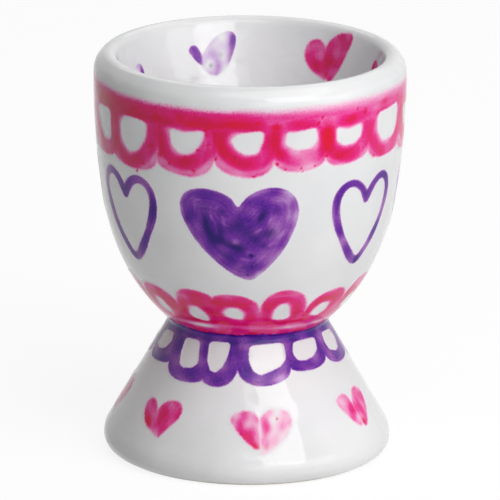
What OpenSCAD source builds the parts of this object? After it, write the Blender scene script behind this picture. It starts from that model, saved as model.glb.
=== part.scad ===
// Glazed ceramic egg cup: a deep round bowl on a flared, hollow foot, with painted borders and hearts.
// Origin: centre of the resting face. +Z up. The painted front faces -Y.
// Azimuths run from the front, counter-clockwise seen from above, in degrees.

/* [Bowl] */
// Widest outside diameter of the bowl
bowl_d = 48; // [46:0.5:51]
// Height of the whole cup
cup_h = 63.3; // [60:0.1:67]
// Radius of the rim's outer shoulder
rim_shoulder_r = 4; // [3.6:0.1:4.4]
// Turn of the rim's outer shoulder, in degrees
rim_shoulder_turn = 46; // [40:1:52]
// Radius of the rim's crest
rim_crest_r = 1.4; // [1.1:0.1:1.7]
// Radius of the wall's long upper curve, as a share of the cup's height
upper_wall_share = 2.054; // [1.85:0.002:2.3]
// Turn of the upper curve, in degrees
upper_wall_turn = 8.4; // [7:0.1:9]
// Radius of the wall's middle curve, as a share of the cup's height
middle_wall_share = 0.6; // [0.57:0.005:0.63]
// Turn of the middle curve, in degrees
middle_wall_turn = 13.6; // [12:0.1:15]
// Radius of the wall's lower curve, as a share of the cup's height
lower_wall_share = 0.461; // [0.44:0.001:0.49]
// Lean of the inside wall, in degrees
inside_lean = 17; // [16:0.5:19]
// Thickness of the bowl's floor over the waist
floor_t = 9.5; // [8:0.1:11]

/* [Foot] */
// Diameter of the waist
waist_d = 24; // [22:0.5:26]
// Widest diameter of the foot
foot_d = 44.4; // [42:0.2:47]
// Radius of the foot's lower edge
foot_edge_r = 2.3; // [2:0.1:2.6]
// Radius of the curve from the lower edge into the cone
foot_shoulder_r = 4; // [3.4:0.1:5]
// Wall of the hollow foot
foot_wall = 3.6; // [3:0.1:4]
// Thickness over the foot's hollow
foot_top_t = 4; // [3.4:0.1:5]
// Width of the dry ring that the cup stands on
foot_ring_w = 2.4; // [2:0.1:2.8]

/* [Joint and coats] */
// Thickness of the slip between bowl and foot
slip_t = 0.8; // [0.6:0.1:1]
// Radius of the smoothed crease at the waist
crease_r = 0.8; // [0.6:0.1:1]
// Thickness of the glaze
glaze_t = 0.3; // [0.2:0.05:0.4]
// Height above the ground where the foot's glaze stops
dry_h = 0.5; // [0.4:0.1:0.7]
// Thickness of the paint
paint_t = 0.1; // [0.08:0.01:0.15]

/* [Pink border under the rim] */
// Height of the loops
rim_loop_h = 7.3; // [6.8:0.1:7.8]
// Height of the windows in the loops
rim_window_h = 3.9; // [3:0.1:4.4]
// Height of the band over the loops
rim_band_h = 2.9; // [2.2:0.1:3.3]
// Width of a loop's stroke
rim_stroke = 2.2; // [1.8:0.1:2.6]
// Azimuths of the points where two loops meet
rim_cusp_turns = [-82, -60, -36, -13, 9, 29, 49, 72, 95, 118, 141, 164, 187, 210, 233, 256];

/* [Pink border above the waist] */
// Height of the border above the waist
waist_border_h = 8.6; // [7.6:0.1:9.2]
// Height of the plain band
waist_band_h = 4; // [3.4:0.1:4.6]
// Width of an arch's stroke
waist_stroke = 1.8; // [1.5:0.1:2.1]
// Azimuths of the points where two arches meet
waist_cusp_turns = [-62, -38, -17, 6, 31, 56, 80, 104, 128, 152, 176, 200, 225, 250, 274];

/* [Purple border below the waist] */
// Height of the border, as a share of the foot's height
collar_border_share = 0.315; // [0.29:0.005:0.34]
// Height of the plain band, as a share of the border's height
collar_band_share = 0.17; // [0.14:0.01:0.22]
// Width of a loop's stroke
collar_stroke = 1.5; // [1.2:0.1:1.7]
// Azimuths of the points where two loops meet
collar_cusp_turns = [-82, -54, -26, -6, 27, 57, 91, 118, 145, 171, 198, 225, 252];

/* [Hearts round the bowl] */
// Gap between the hearts' tips and the border below them
bowl_heart_gap = 3.4; // [2.4:0.1:4.4]
// Gap between the hearts' lobes and the border above them
bowl_heart_top_gap = 1.7; // [1.5:0.1:2.6]
// Width of a filled heart
filled_heart_w = 18; // [16:0.1:19]
// Width of an outline heart
outline_heart_w = 13.4; // [12:0.1:14.5]
// Stroke of an outline heart
heart_stroke = 1.5; // [1.2:0.1:1.8]
// Lean of the hearts, in degrees
bowl_heart_lean = 7; // [-10:1:10]
// Azimuths of the hearts
bowl_heart_turns = [-3, 50, 101, 152, 204, 255, 306];
// Which of them are filled: 1 filled, 0 in outline
bowl_heart_fill_shares = [1, 0, 1, 0, 0, 1, 0];

/* [Hearts round the foot] */
// Height of the tips of the hearts, as a share of the foot's height
foot_heart_rise_share = 0.277; // [0.25:0.001:0.3]
// Height of a heart, as a share of the foot's height
foot_heart_h_share = 0.277; // [0.24:0.001:0.3]
// Width of a heart, as a share of its height
foot_heart_w_share = 1.52; // [1.35:0.01:1.65]
// Azimuths of the hearts
foot_heart_turns = [7, 62, 115, 166, 217, 268, 315];

/* [Hearts inside the bowl] */
// Drop from the rim's crest to the tops of the hearts
inner_heart_drop = 2.1; // [1.8:0.1:2.6]
// Height of a heart
inner_heart_h = 6.2; // [5.6:0.1:6.8]
// Width of a heart
inner_heart_w = 8; // [7:0.1:9]
// Azimuths of the hearts
inner_heart_turns = [93, 142, 198, 252, 301, 352, 41];
// Which of them are pink: 1 pink, 0 purple
inner_heart_pink_shares = [1, 1, 0, 0, 1, 0, 1];

/* [Hidden] */
function numbered(name, list) = [for (i = [1 : len(list)]) str(name, i)];
$fn = 96;

clay_color = "linen";
slip_color = "wheat";
glaze_color = "white";
pink = "deeppink";
purple = "darkorchid";

// Greatest distance between a curved outline and its straight steps
chord_sag = 0.01;
// How far a cut runs past the surface it cuts
overrun = 1;
// A lobe's radius as a share of its heart's width
lobe_share = 0.26;
// Where the paint stamps start, as a share of the waist's radius
stamp_start_share = 0.85;

bowl_r = bowl_d / 2;
waist_r = waist_d / 2;
foot_r = foot_d / 2;

function dir(a) = [cos(a), sin(a)];
function angle_to(from, to) = atan2(to.y - from.y, to.x - from.x);
// Points of an arc in steps that stay within the chord sag
function arc(centre, r, from, to) =
    let (steps = max(2, ceil(abs(to - from) / (2 * acos(1 - chord_sag / r)))))
    [for (i = [0 : steps]) centre + r * dir(from + (to - from) * i / steps)];
// The same arc without the point that it shares with the arc before it
function next_arc(centre, r, from, to) =
    let (points = arc(centre, r, from, to))
    [for (i = [1 : len(points) - 1]) points[i]];

// Outside of the bowl: five arcs, each tangent to the next
rim_h = rim_shoulder_r * sin(rim_shoulder_turn) + rim_crest_r * (1 - sin(rim_shoulder_turn));
belly_z = cup_h - rim_h;
upper_wall_r = cup_h * upper_wall_share;
middle_wall_r = cup_h * middle_wall_share;
lower_wall_r = cup_h * lower_wall_share;
lower_turn = upper_wall_turn + middle_wall_turn;
upper_c = [bowl_r - upper_wall_r, belly_z];
middle_c = upper_c + (upper_wall_r - middle_wall_r) * dir(-upper_wall_turn);
lower_c = middle_c + (middle_wall_r - lower_wall_r) * dir(-lower_turn);
shoulder_c = [bowl_r - rim_shoulder_r, belly_z];
crest_c = shoulder_c + (rim_shoulder_r - rim_crest_r) * dir(rim_shoulder_turn);

// The waist, where the bowl's lower curve comes down to the waist's radius
waist_z = lower_c.y - sqrt(pow(lower_wall_r, 2) - pow(waist_r - lower_c.x, 2));
waist_point = [waist_r, waist_z];

// Inside of the bowl: a leaning wall from the rim's crest down to a round seat that it touches
inside_top = crest_c + rim_crest_r * dir(180 - inside_lean);
floor_z = waist_z + floor_t;
seat_r = (inside_top.x * cos(inside_lean) - (inside_top.y - floor_z) * sin(inside_lean))
    / (1 - sin(inside_lean));
seat_c = [0, floor_z + seat_r];

// The foot: a cone from the waist, tangent to the curve above the foot's edge
edge_x = foot_r - foot_edge_r;
foot_c = [foot_r - foot_shoulder_r, foot_edge_r];
cone_lean = angle_to(foot_c, waist_point)
    - acos(foot_shoulder_r / norm(waist_point - foot_c));
// Radius of the cone at a height, offset outward from the finished surface
function cone_x(z, off) =
    let (start = foot_c + (foot_shoulder_r + off) * dir(cone_lean))
    start.x - (z - start.y) * tan(cone_lean);
ring_x = edge_x - foot_ring_w;
hollow_top_z = waist_z - foot_top_t;

stamp_start = waist_r * stamp_start_share;

// Heights of the borders' parts, and the radii that their loops are drawn for
rim_loops_z = belly_z - rim_band_h;
rim_border_z = rim_loops_z - rim_loop_h;
arches_z = waist_z + waist_band_h;
waist_border_top = waist_z + waist_border_h;
arch_h = waist_border_h - waist_band_h;
arches_r = lower_c.x + sqrt(pow(lower_wall_r, 2) - pow(lower_c.y - arches_z - arch_h / 2, 2));
collar_border_h = waist_z * collar_border_share;
collar_border_z = waist_z - collar_border_h;
collar_loop_h = collar_border_h * (1 - collar_band_share);
collar_loops_z = collar_border_z + collar_loop_h;
collar_r = cone_x(collar_loops_z - collar_loop_h / 2, 0);
bowl_heart_z = waist_border_top + bowl_heart_gap;
bowl_heart_h = rim_border_z - bowl_heart_top_gap - bowl_heart_z;
foot_heart_z = waist_z * foot_heart_rise_share;
foot_heart_h = waist_z * foot_heart_h_share;
foot_heart_w = foot_heart_h * foot_heart_w_share;
inner_heart_z = cup_h - inner_heart_drop - inner_heart_h;

// The crease's fillet touches the cone and the bowl's lower curve
cone_up = dir(cone_lean + 90);
crease_start = waist_point - lower_c + crease_r * dir(cone_lean);
crease_run = -crease_start * cone_up - sqrt(pow(crease_start * cone_up, 2)
    - crease_start * crease_start + pow(lower_wall_r + crease_r, 2));
crease_c = lower_c + crease_start - abs(crease_run) * cone_up;
// Where the slip ends on the clay below and above the crease
slip_r = crease_r + glaze_t;
slip_low = crease_c + slip_r * dir(180 + cone_lean);
slip_high = crease_c + slip_r * dir(angle_to(crease_c, lower_c));

// Outlines in the plane of radius and height, each offset outward from the finished surface
module bowl_outline(off) {
    low_end = asin((lower_c.y - waist_z) / (lower_wall_r + off));
    polygon(concat(
        [[0, waist_z]],
        arc(lower_c, lower_wall_r + off, -low_end, -lower_turn),
        next_arc(middle_c, middle_wall_r + off, -lower_turn, -upper_wall_turn),
        next_arc(upper_c, upper_wall_r + off, -upper_wall_turn, 0),
        next_arc(shoulder_c, rim_shoulder_r + off, 0, rim_shoulder_turn),
        next_arc(crest_c, rim_crest_r + off, rim_shoulder_turn, 90),
        [[0, cup_h + off]]));
}

module cavity_outline(off) {
    polygon(concat(
        [[0, cup_h + off]],
        arc(crest_c, rim_crest_r + off, 90, 180 - inside_lean),
        arc(seat_c, seat_r - off, -inside_lean, -90)));
}

module foot_outline(off) {
    polygon(concat(
        [[0, 0]],
        arc([edge_x, foot_edge_r + off], foot_edge_r + off, -90, 0),
        next_arc(foot_c, foot_shoulder_r + off, 0, cone_lean),
        [[cone_x(waist_z, off), waist_z], [0, waist_z]]));
}

module hollow_outline(off) {
    wall_off = -foot_wall - off;
    knee_z = foot_c.y + (cone_x(foot_c.y, wall_off) - ring_x + off) / tan(cone_lean);
    top_z = hollow_top_z - off;
    polygon([
        [0, 0],
        [ring_x - off, 0],
        [ring_x - off, knee_z],
        [cone_x(top_z, wall_off), top_z],
        [0, top_z]]);
}

module crease_outline(off) {
    polygon(concat(
        [[0, waist_z]],
        arc(crease_c, crease_r - off, 180 + cone_lean, angle_to(crease_c, lower_c))));
}

module skin_outline(off) {
    bowl_outline(off);
    foot_outline(off);
    crease_outline(off);
}

// Keeps what lies between two heights
module between(bottom, top) {
    intersection() {
        children();
        translate([0, bottom]) square([bowl_d, top - bottom]);
    }
}

module bowl_clay() {
    between(waist_z + slip_t / 2, cup_h) difference() {
        bowl_outline(-glaze_t);
        cavity_outline(-glaze_t);
    }
}

module foot_clay() {
    between(0, waist_z - slip_t / 2) difference() {
        foot_outline(-glaze_t);
        hollow_outline(-glaze_t);
    }
}

// The clay pieces
module bowl() {
    color(clay_color) rotate_extrude() bowl_clay();
}

module foot() {
    color(clay_color) rotate_extrude() foot_clay();
}

module luting_slip() {
    color(slip_color) rotate_extrude() difference() {
        between(min(slip_low.y, waist_z - slip_t / 2), max(slip_high.y, waist_z + slip_t / 2))
            skin_outline(-glaze_t);
        between(0, waist_z - slip_t / 2) foot_outline(-glaze_t);
        between(waist_z + slip_t / 2, cup_h) bowl_outline(-glaze_t);
    }
}

// The glaze coats
module bowl_glaze() {
    color(glaze_color) rotate_extrude() between(waist_z, cup_h) difference() {
        skin_outline(0);
        cavity_outline(0);
        difference() {
            skin_outline(-glaze_t);
            cavity_outline(-glaze_t);
        }
    }
}

module foot_glaze() {
    color(glaze_color) rotate_extrude() between(dry_h, waist_z) difference() {
        skin_outline(0);
        skin_outline(-glaze_t);
    }
}

module hollow_glaze() {
    color(glaze_color) rotate_extrude() between(dry_h, waist_z) difference() {
        hollow_outline(-glaze_t);
        hollow_outline(0);
    }
}

// A coat of paint all round the outside, between two heights
module outside_coat(bottom, top) {
    rotate_extrude() between(bottom, top) difference() {
        skin_outline(paint_t);
        skin_outline(0);
    }
}

// A coat of paint all round the inside of the bowl, between two heights
module inside_coat(bottom, top) {
    rotate_extrude() between(bottom, top) difference() {
        cavity_outline(0);
        cavity_outline(paint_t);
    }
}

// Carries a flat, upright shape outward through the cup's wall at an azimuth
module stamp(azimuth) {
    rotate([0, 0, azimuth])
        translate([0, -stamp_start, 0])
            rotate([90, 0, 0])
                linear_extrude(height = bowl_r + overrun - stamp_start) children();
}

// Half a circle over y = 0 and two straight legs down to y = -overrun, all moved up by leg
function tongue_points(w, h) =
    let (end_r = min(w / 2, h))
    concat([[end_r, -overrun]], arc([0, h - end_r], end_r, 0, 180), [[-end_r, -overrun]]);

// One loop: a flat tongue with a round end at y = h and a smaller tongue taken out of it
module loop(w, h, stroke, window_h) {
    difference() {
        polygon(tongue_points(w, h));
        polygon(tongue_points(w - 2 * stroke, window_h));
    }
}

// A ring of loops, each from one cusp to the next, that stand over or hang from the height base_z
module loops(cusps, r, base_z, h, stroke, window_h, hanging) {
    for (i = [0 : len(cusps) - 1]) {
        from = cusps[i];
        to = i + 1 < len(cusps) ? cusps[i + 1] : cusps[0] + 360;
        loop_w = 2 * r * sin((to - from) / 2);
        stamp((from + to) / 2)
            translate([0, base_z])
                rotate(hanging ? 180 : 0) loop(loop_w, h, stroke, window_h);
    }
}

// A plain band all round, thick enough to pass through the cup's wall
module band(bottom, top) {
    translate([0, 0, bottom]) cylinder(r = bowl_d, h = top - bottom);
}

module rim_border() {
    color(pink) intersection() {
        outside_coat(rim_border_z - overrun, belly_z);
        union() {
            band(rim_loops_z, belly_z);
            loops(rim_cusp_turns, bowl_r, rim_loops_z, rim_loop_h, rim_stroke, rim_window_h, true);
        }
    }
}

module waist_border() {
    color(pink) intersection() {
        outside_coat(waist_z, waist_border_top + overrun);
        union() {
            band(waist_z, arches_z);
            loops(waist_cusp_turns, arches_r, arches_z, arch_h, waist_stroke, arch_h - waist_stroke, false);
        }
    }
}

module collar_border() {
    color(purple) intersection() {
        outside_coat(collar_border_z - overrun, waist_z);
        union() {
            band(collar_loops_z, waist_z);
            loops(collar_cusp_turns, collar_r, collar_loops_z, collar_loop_h,
                collar_stroke, collar_loop_h - collar_stroke, true);
        }
    }
}

// A flat heart with its tip at the origin, drawn in by an inset. Its straight sides touch round
// lobes, which meet in the notch or, where the inset parts them, in a flat top between them.
module heart(w, h, inset = 0) {
    lobe_r = w * lobe_share;
    lobe = [w / 2 - lobe_r, h - lobe_r];
    side_slope = atan2(lobe.x, lobe.y) + asin(lobe_r / norm(lobe));
    r = lobe_r - inset;
    right = arc(lobe, r, -side_slope, r > lobe.x ? 90 + asin(lobe.x / r) : 180);
    left = [for (i = [len(right) - 1 : -1 : 0]) [-right[i].x, right[i].y]];
    polygon(concat([[0, inset / sin(side_slope)]], right, left));
}

module bowl_heart(i) {
    filled = bowl_heart_fill_shares[i] == 1;
    w = filled ? filled_heart_w : outline_heart_w;
    color(purple) intersection() {
        outside_coat(bowl_heart_z - overrun, bowl_heart_z + bowl_heart_h + overrun);
        stamp(bowl_heart_turns[i])
            translate([0, bowl_heart_z + bowl_heart_h / 2])
                rotate(bowl_heart_lean)
                    translate([0, -bowl_heart_h / 2])
                        difference() {
                            heart(w, bowl_heart_h);
                            if (!filled) heart(w, bowl_heart_h, heart_stroke);
                        }
    }
}

module foot_heart(i) {
    color(pink) intersection() {
        outside_coat(foot_heart_z - overrun, foot_heart_z + foot_heart_h + overrun);
        stamp(foot_heart_turns[i])
            translate([0, foot_heart_z]) heart(foot_heart_w, foot_heart_h);
    }
}

module inner_heart(i) {
    color(inner_heart_pink_shares[i] == 1 ? pink : purple) intersection() {
        inside_coat(inner_heart_z - overrun, inner_heart_z + inner_heart_h + overrun);
        stamp(inner_heart_turns[i])
            translate([0, inner_heart_z]) heart(inner_heart_w, inner_heart_h);
    }
}

bowl();
foot();
luting_slip();
bowl_glaze();
foot_glaze();
hollow_glaze();
rim_border();
waist_border();
collar_border();
for (i = [0 : len(bowl_heart_turns) - 1])
    bowl_heart(i);
for (i = [0 : len(foot_heart_turns) - 1])
    foot_heart(i);
for (i = [0 : len(inner_heart_turns) - 1])
    inner_heart(i);
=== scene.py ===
# %% [markdown]
# # A hand-painted egg cup
# The real cup is one fired pot: a deep bowl luted to a flared, hollow foot, coated in white glaze
# and painted with pink and purple enamel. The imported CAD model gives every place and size. This
# script gives the looks: smooth glaze skins that stand for the faceted ones, and thin films of
# enamel with the soft edges, brush streaks and pools of hand painting.

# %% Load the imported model
from collections import namedtuple
from math import acos, asin, atan2, ceil, cos, degrees, hypot, pi, radians, sin, sqrt, tan

import bmesh
import bpy
import numpy as np
from mathutils import Matrix, Vector


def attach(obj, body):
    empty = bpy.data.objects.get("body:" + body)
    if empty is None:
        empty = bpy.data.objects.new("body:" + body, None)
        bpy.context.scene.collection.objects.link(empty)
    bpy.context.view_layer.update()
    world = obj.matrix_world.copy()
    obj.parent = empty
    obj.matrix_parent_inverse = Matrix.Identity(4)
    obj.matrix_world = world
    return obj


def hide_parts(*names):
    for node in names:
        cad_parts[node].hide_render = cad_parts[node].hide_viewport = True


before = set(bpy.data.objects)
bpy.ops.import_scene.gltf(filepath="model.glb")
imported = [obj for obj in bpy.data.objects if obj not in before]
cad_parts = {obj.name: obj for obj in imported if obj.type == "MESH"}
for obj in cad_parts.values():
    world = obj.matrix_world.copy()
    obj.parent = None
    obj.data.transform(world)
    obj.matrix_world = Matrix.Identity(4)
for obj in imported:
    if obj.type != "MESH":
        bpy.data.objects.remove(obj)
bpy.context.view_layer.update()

# %% [markdown]
# The cup is a body of revolution, so one outline in radius and height describes it. It could be
# read off the CAD mesh, but that mesh is made of flat facets. Here the same tangent arcs are
# drawn again, in millimetres, with as many points as a smooth highlight needs.

# %% Sizes of the cup, in millimetres
MM = 0.001
CUP_H, BOWL_R, WAIST_R, FOOT_R = 63.3, 24.0, 12.0, 22.2
SHOULDER_R, SHOULDER_TURN, CREST_R = 4.0, 46.0, 1.4
UPPER_R, UPPER_TURN = CUP_H * 2.054, 8.4
MIDDLE_R, MIDDLE_TURN = CUP_H * 0.6, 13.6
LOWER_R, INSIDE_LEAN, FLOOR_T = CUP_H * 0.461, 17.0, 9.5
EDGE_R, FOOT_SHOULDER_R, CREASE_R, DRY_H = 2.3, 4.0, 0.8, 0.5
FOOT_WALL, FOOT_TOP_T, RING_W, GLAZE_T = 3.6, 4.0, 2.4, 0.3
print("cup", CUP_H, "high and", BOWL_R * 2, "across")


def direction(angle):
    return np.array([cos(radians(angle)), sin(radians(angle))])


def angle_to(start, end):
    return degrees(atan2(end[1] - start[1], end[0] - start[0]))


def arc(centre, radius, start, end, step=0.5):
    """Points of an arc, closer together where it is tight."""
    step = min(step, radius * 0.12)
    count = max(3, ceil(abs(radians(end - start)) * radius / step))
    return [np.array(centre) + radius * direction(a) for a in np.linspace(start, end, count + 1)]


# %% Centres of the arcs
shoulder_up = direction(SHOULDER_TURN)[1]
belly_z = CUP_H - SHOULDER_R * shoulder_up - CREST_R * (1 - shoulder_up)
lower_turn = UPPER_TURN + MIDDLE_TURN
upper_c = np.array([BOWL_R - UPPER_R, belly_z])
middle_c = upper_c + (UPPER_R - MIDDLE_R) * direction(-UPPER_TURN)
lower_c = middle_c + (MIDDLE_R - LOWER_R) * direction(-lower_turn)
shoulder_c = np.array([BOWL_R - SHOULDER_R, belly_z])
crest_c = shoulder_c + (SHOULDER_R - CREST_R) * direction(SHOULDER_TURN)
waist_z = lower_c[1] - sqrt(LOWER_R ** 2 - (WAIST_R - lower_c[0]) ** 2)
waist = np.array([WAIST_R, waist_z])
foot_c = np.array([FOOT_R - FOOT_SHOULDER_R, EDGE_R])
cone_lean = angle_to(foot_c, waist) - degrees(acos(FOOT_SHOULDER_R / np.linalg.norm(waist - foot_c)))
cone_up = direction(cone_lean + 90)
start = waist - lower_c + CREASE_R * direction(cone_lean)
along = -start @ cone_up - sqrt((start @ cone_up) ** 2 - start @ start + (LOWER_R + CREASE_R) ** 2)
crease_c = lower_c + start - abs(along) * cone_up
crease_turn = 180 - degrees(asin((waist_z - crease_c[1]) / CREASE_R))
inside_top = crest_c + CREST_R * direction(180 - INSIDE_LEAN)
floor_z = waist_z + FLOOR_T
cos_lean, sin_lean = direction(INSIDE_LEAN)
seat_r = (inside_top[0] * cos_lean - (inside_top[1] - floor_z) * sin_lean) / (1 - sin_lean)
print("waist at", round(waist_z, 2), "belly at", round(belly_z, 2), "seat radius", round(seat_r, 2))

# %% [markdown]
# The rim's reflection of the window is a thin streak, so the glazed shoulder turns faster there
# than a plain arc. Three tangent arcs take the place of the CAD's one, between the same two ends,
# and stay within a tenth of a millimetre of it.

# %% The shoulder of the rim
TIGHT_R, TIGHT_FROM, TIGHT_TO = 2.0, 12.0, 38.0
turns = np.array([direction(a) for a in (0, TIGHT_FROM, TIGHT_TO, SHOULDER_TURN)])
runs = np.diff(turns, axis=0)
whole = SHOULDER_R * (turns[3] - turns[0]) - TIGHT_R * runs[1]
first_r, last_r = np.linalg.solve(runs[[0, 2]].T, whole)
first_c = np.array([BOWL_R - first_r, belly_z])
tight_c = first_c + (first_r - TIGHT_R) * turns[1]
last_c = tight_c + (TIGHT_R - last_r) * turns[2]
shoulder_line = (
    arc(first_c, first_r, 0, TIGHT_FROM)[1:]
    + arc(tight_c, TIGHT_R, TIGHT_FROM, TIGHT_TO)[1:]
    + arc(last_c, last_r, TIGHT_TO, SHOULDER_TURN)[1:])
print("shoulder radii", round(first_r, 2), TIGHT_R, round(last_r, 2))

# %% The outlines, from the foot's dry ring up, over the rim and down inside
foot_line = (
    arc([FOOT_R - EDGE_R, EDGE_R], EDGE_R, -degrees(asin(1 - DRY_H / EDGE_R)), 0)
    + arc(foot_c, FOOT_SHOULDER_R, 0, cone_lean)[1:]
    + list(np.linspace(foot_c + FOOT_SHOULDER_R * direction(cone_lean),
                       crease_c + CREASE_R * direction(180 + cone_lean), 70)[1:])
    + arc(crease_c, CREASE_R, 180 + cone_lean, crease_turn, 0.08)[1:])
bowl_line = (
    arc(crease_c, CREASE_R, crease_turn, angle_to(crease_c, lower_c), 0.08)
    + arc(lower_c, LOWER_R, angle_to(lower_c, crease_c), -lower_turn)[1:]
    + arc(middle_c, MIDDLE_R, -lower_turn, -UPPER_TURN)[1:]
    + arc(upper_c, UPPER_R, -UPPER_TURN, 0)[1:]
    + shoulder_line
    + arc(crest_c, CREST_R, SHOULDER_TURN, 180 - INSIDE_LEAN)[1:])
inside_line = (
    list(np.linspace(inside_top, np.array([0, floor_z + seat_r]) + seat_r * direction(-INSIDE_LEAN), 76))
    + arc([0, floor_z + seat_r], seat_r, -INSIDE_LEAN, -90)[1:])
print("outline points:", len(foot_line), len(bowl_line), len(inside_line))

# %% [markdown]
# A skin of glaze is a line of points turned round the axis. The spin operator does that, and a
# Solidify modifier gives the glaze its thickness, inwards to the clay. A partial spin of a short
# piece of the line gives the ground for a film of paint.

# %% Turn a line round the axis
def turned(line, from_turn=0.0, to_turn=360.0, steps=256):
    """A bmesh of the line spun from one azimuth to another, its faces looking away from the clay."""
    bm = bmesh.new()
    a = radians(from_turn)
    points = [bm.verts.new((r * MM * sin(a), -r * MM * cos(a), z * MM)) for r, z in line]
    chain = [bm.edges.new(pair) for pair in zip(points, points[1:])]
    full = to_turn - from_turn >= 360
    bmesh.ops.spin(bm, geom=points + chain, cent=(0, 0, 0), axis=(0, 0, 1), dvec=(0, 0, 0),
                   angle=radians(to_turn - from_turn), steps=steps, use_merge=full)
    bmesh.ops.remove_doubles(bm, verts=bm.verts, dist=1e-6)
    bm.normal_update()
    # The line runs anticlockwise round the clay, so outward is to the right of any step of it
    (r0, z0), (r1, z1) = line[len(line) // 2], line[len(line) // 2 + 1]
    here = np.array([(r0 + r1) / 2, (z0 + z1) / 2]) * MM

    def gap(face):
        middle = face.calc_center_median()
        return hypot(hypot(middle.x, middle.y) - here[0], middle.z - here[1])

    face = min(bm.faces, key=gap)
    middle = face.calc_center_median()
    outward = Vector((middle.x, middle.y, 0)).normalized() * (z1 - z0) + Vector((0, 0, r0 - r1))
    if face.normal.dot(outward) < 0:
        bmesh.ops.reverse_faces(bm, faces=bm.faces)
    return bm


# %% Make a piece from a bmesh
def placed(name, data):
    """A new object in the scene."""
    made = bpy.data.objects.new(name, data)
    bpy.context.scene.collection.objects.link(made)
    return made


def dressed(name, bm, material):
    """A new object of the bmesh in one material."""
    mesh = bpy.data.meshes.new(name)
    bm.to_mesh(mesh)
    bm.free()
    mesh.materials.append(material)
    return placed(name, mesh)


def piece(name, bm, thickness, material):
    """A smooth object with a sharp rim, thickened inwards, that rides on the cup."""
    for edge in bm.edges:
        edge.smooth = not edge.is_boundary
    for face in bm.faces:
        face.smooth = True
    made = dressed(name, bm, material)
    wall = made.modifiers.new("thickness", "SOLIDIFY")
    wall.thickness = thickness * MM
    wall.offset = -1
    wall.use_quality_normals = True
    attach(made, "root")
    print(name, "faces:", len(made.data.polygons))
    return made


# %% [markdown]
# Colours are written as they look on a screen and turned into the linear values that shaders
# expect. One small function adds a node, sets it up and plugs sockets or plain values into it, and
# the short ones after it name what the materials use most.

# %% Colours and nodes
def linear(hex_colour):
    """An sRGB hex colour as linear red, green, blue and alpha."""
    parts = [int(hex_colour[i:i + 2], 16) / 255 for i in (1, 3, 5)]
    return [c / 12.92 if c <= 0.04045 else ((c + 0.055) / 1.055) ** 2.4 for c in parts] + [1.0]


def add(tree, kind, inputs=(), **settings):
    """Adds a shader node. Inputs go by name or number, and are values or other nodes' sockets."""
    made = tree.nodes.new("ShaderNode" + kind)
    for name, value in settings.items():
        setattr(made, name, value)
    for name, value in dict(inputs).items():
        socket = made.inputs[name]
        if isinstance(value, bpy.types.NodeSocket):
            tree.links.new(value, socket)
        else:
            socket.default_value = value
    return made


def new_material(name):
    material = bpy.data.materials.new(name)
    material.use_nodes = True
    material.node_tree.nodes.clear()
    return material, material.node_tree


# %% Short names for nodes
# Glaze and fired clay bend light about as window glass does
FIRED_IOR = 1.5


def place_on(tree):
    return add(tree, "TexCoord").outputs["Object"]


def noise(tree, place, scale, detail=2.0, roughness=0.5):
    settings = {"Vector": place, "Scale": scale, "Detail": detail, "Roughness": roughness}
    return add(tree, "TexNoise", settings).outputs["Fac"]


def cells(tree, place, scale):
    """Round cells: the distance from each one's middle, and a chance number that each has."""
    made = add(tree, "TexVoronoi", {"Vector": place, "Scale": scale})
    chance = add(tree, "SeparateColor", {"Color": made.outputs["Color"]})
    return made.outputs["Distance"], chance.outputs["Red"]


def maths(tree, operation, *values, clamp=False):
    return add(tree, "Math", enumerate(values), operation=operation, use_clamp=clamp).outputs[0]


def product(tree, *values):
    """All the values multiplied, the result held between 0 and 1."""
    total = values[0]
    for value in values[1:]:
        total = maths(tree, "MULTIPLY", total, value, clamp=value is values[-1])
    return total


def about_one(tree, value, amount):
    """A value between 0 and 1 made into a factor that sways about 1 by the amount."""
    return maths(tree, "MULTIPLY_ADD", value, amount, 1 - amount / 2)


def between(tree, value, low, high, top=1.0, curve="LINEAR"):
    """Where a value lies between two limits, from 0 to the top."""
    limits = {"Value": value, "From Min": low, "From Max": high, "To Max": top}
    return add(tree, "MapRange", limits, interpolation_type=curve).outputs[0]


def ramp(tree, value, tones):
    """A colour read off a row of places and colours."""
    made = add(tree, "ValToRGB", {"Fac": value})
    elements = made.color_ramp.elements
    while len(elements) < len(tones):
        elements.new(0.5)
    for element, (position, hex_colour) in zip(elements, tones):
        element.position, element.color = position, linear(hex_colour)
    return made.outputs["Color"]


def mixed(tree, share, under, over, blend="MIX"):
    return add(tree, "Mix", {"Factor": share, 6: under, 7: over},
               data_type="RGBA", blend_type=blend).outputs[2]


def bump(tree, height, strength, depth):
    return add(tree, "Bump", {"Height": height, "Strength": strength, "Distance": depth}).outputs["Normal"]


def finish_shader(tree, colour, normal, roughness, level=0.5):
    shader = add(tree, "BsdfPrincipled", {
        "Base Color": colour, "Roughness": roughness, "IOR": FIRED_IOR, "Specular IOR Level": level,
        "Normal": normal})
    add(tree, "OutputMaterial", {"Surface": shader.outputs["BSDF"]})


print("node functions ready")

# %% [markdown]
# Glazed earthenware shows three things. The white is a little brighter or duller where the glaze
# ran thick or thin. The surface is glass smooth, with a slow ripple that bends the edges of a
# window's reflection: a straight one would look like plastic. And there are a few specks of iron.

# %% White glaze
GLAZE_WHITE, IRON_BROWN = "#EDEDEE", "#9A8F84"
# Scales are cells per metre: patches of 12 mm, ripples of 4 mm and a place for a speck each 6 mm
TONE_SCALE, RIPPLE_SCALE, SPECK_SCALE = 85.0, 240.0, 160.0
SPECKS_KEPT, SPECK_FROM, SPECK_TO = 0.05, 0.02, 0.035
GLAZE_ROUGHNESS = 0.06


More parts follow.
